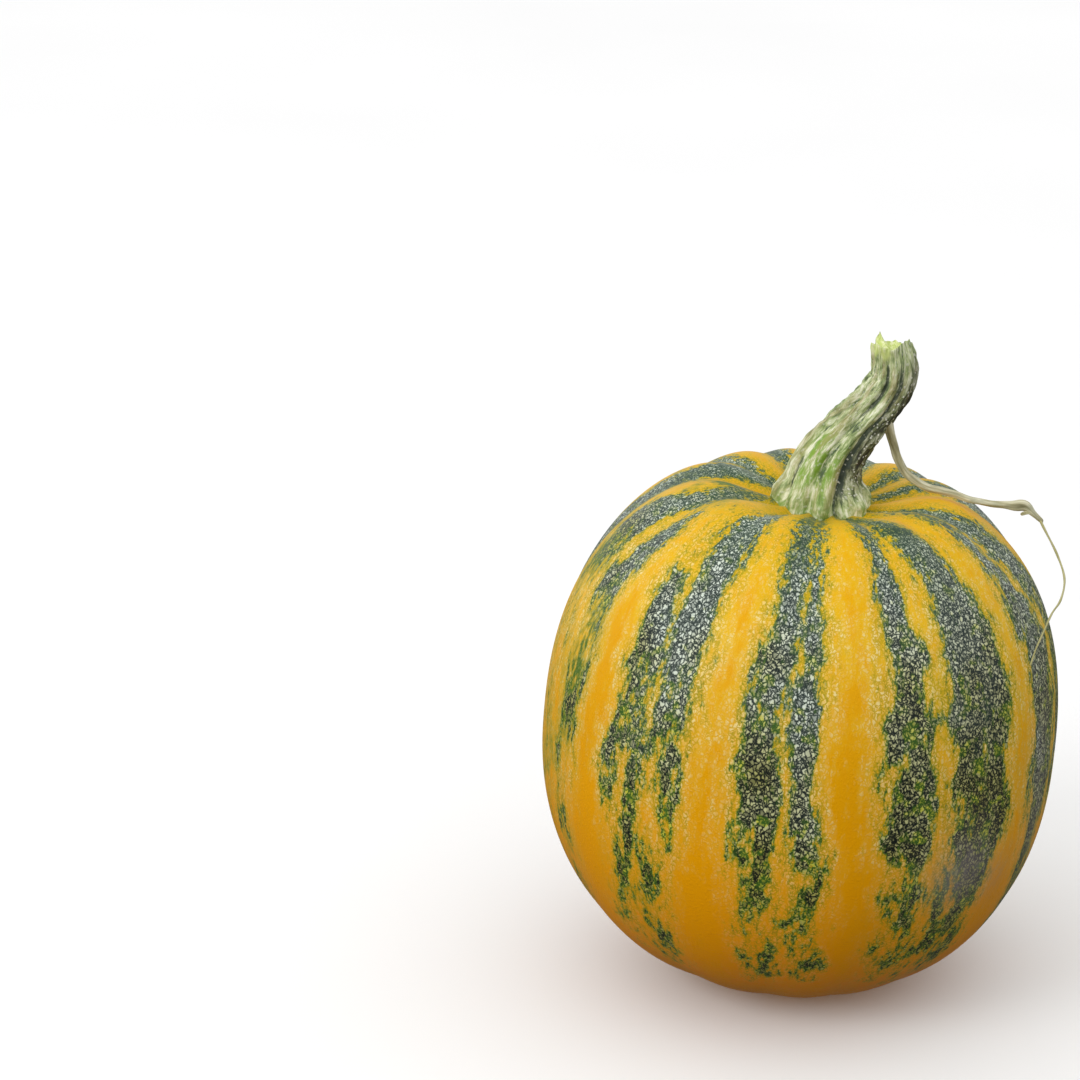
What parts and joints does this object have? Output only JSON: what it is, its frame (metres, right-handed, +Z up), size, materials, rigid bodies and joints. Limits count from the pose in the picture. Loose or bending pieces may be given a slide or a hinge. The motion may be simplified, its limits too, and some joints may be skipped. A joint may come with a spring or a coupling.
{
  "type": "pumpkin",
  "caption": "Whole striped pumpkin, round and softly ribbed, standing on its blossom end, with a curved ridged stem and a dried curling tendril.",
  "frame": {"origin": "middle of the flat spot that the fruit stands on, at floor height", "axes": "+Z up through the stem, -Y towards the side that the striped front faces, +X the side that the crown and the stem lean to and that the tendril hangs over"},
  "size_m": [0.2205, 0.219, 0.2862],
  "materials": {
    "rind": "waxy rind, semi-gloss, orange-yellow with broken dark green stripes and a fine pale netting",
    "stem": "half-dried ridged stalk, matt, sage green with darker grooves and a torn pale tip",
    "tendril": "dry straw-coloured plant fibre, matt"
  },
  "bodies": {
    "root": {"fruit": "rind", "stem": "stem", "tendril": "tendril"}
  },
  "joints": []
}
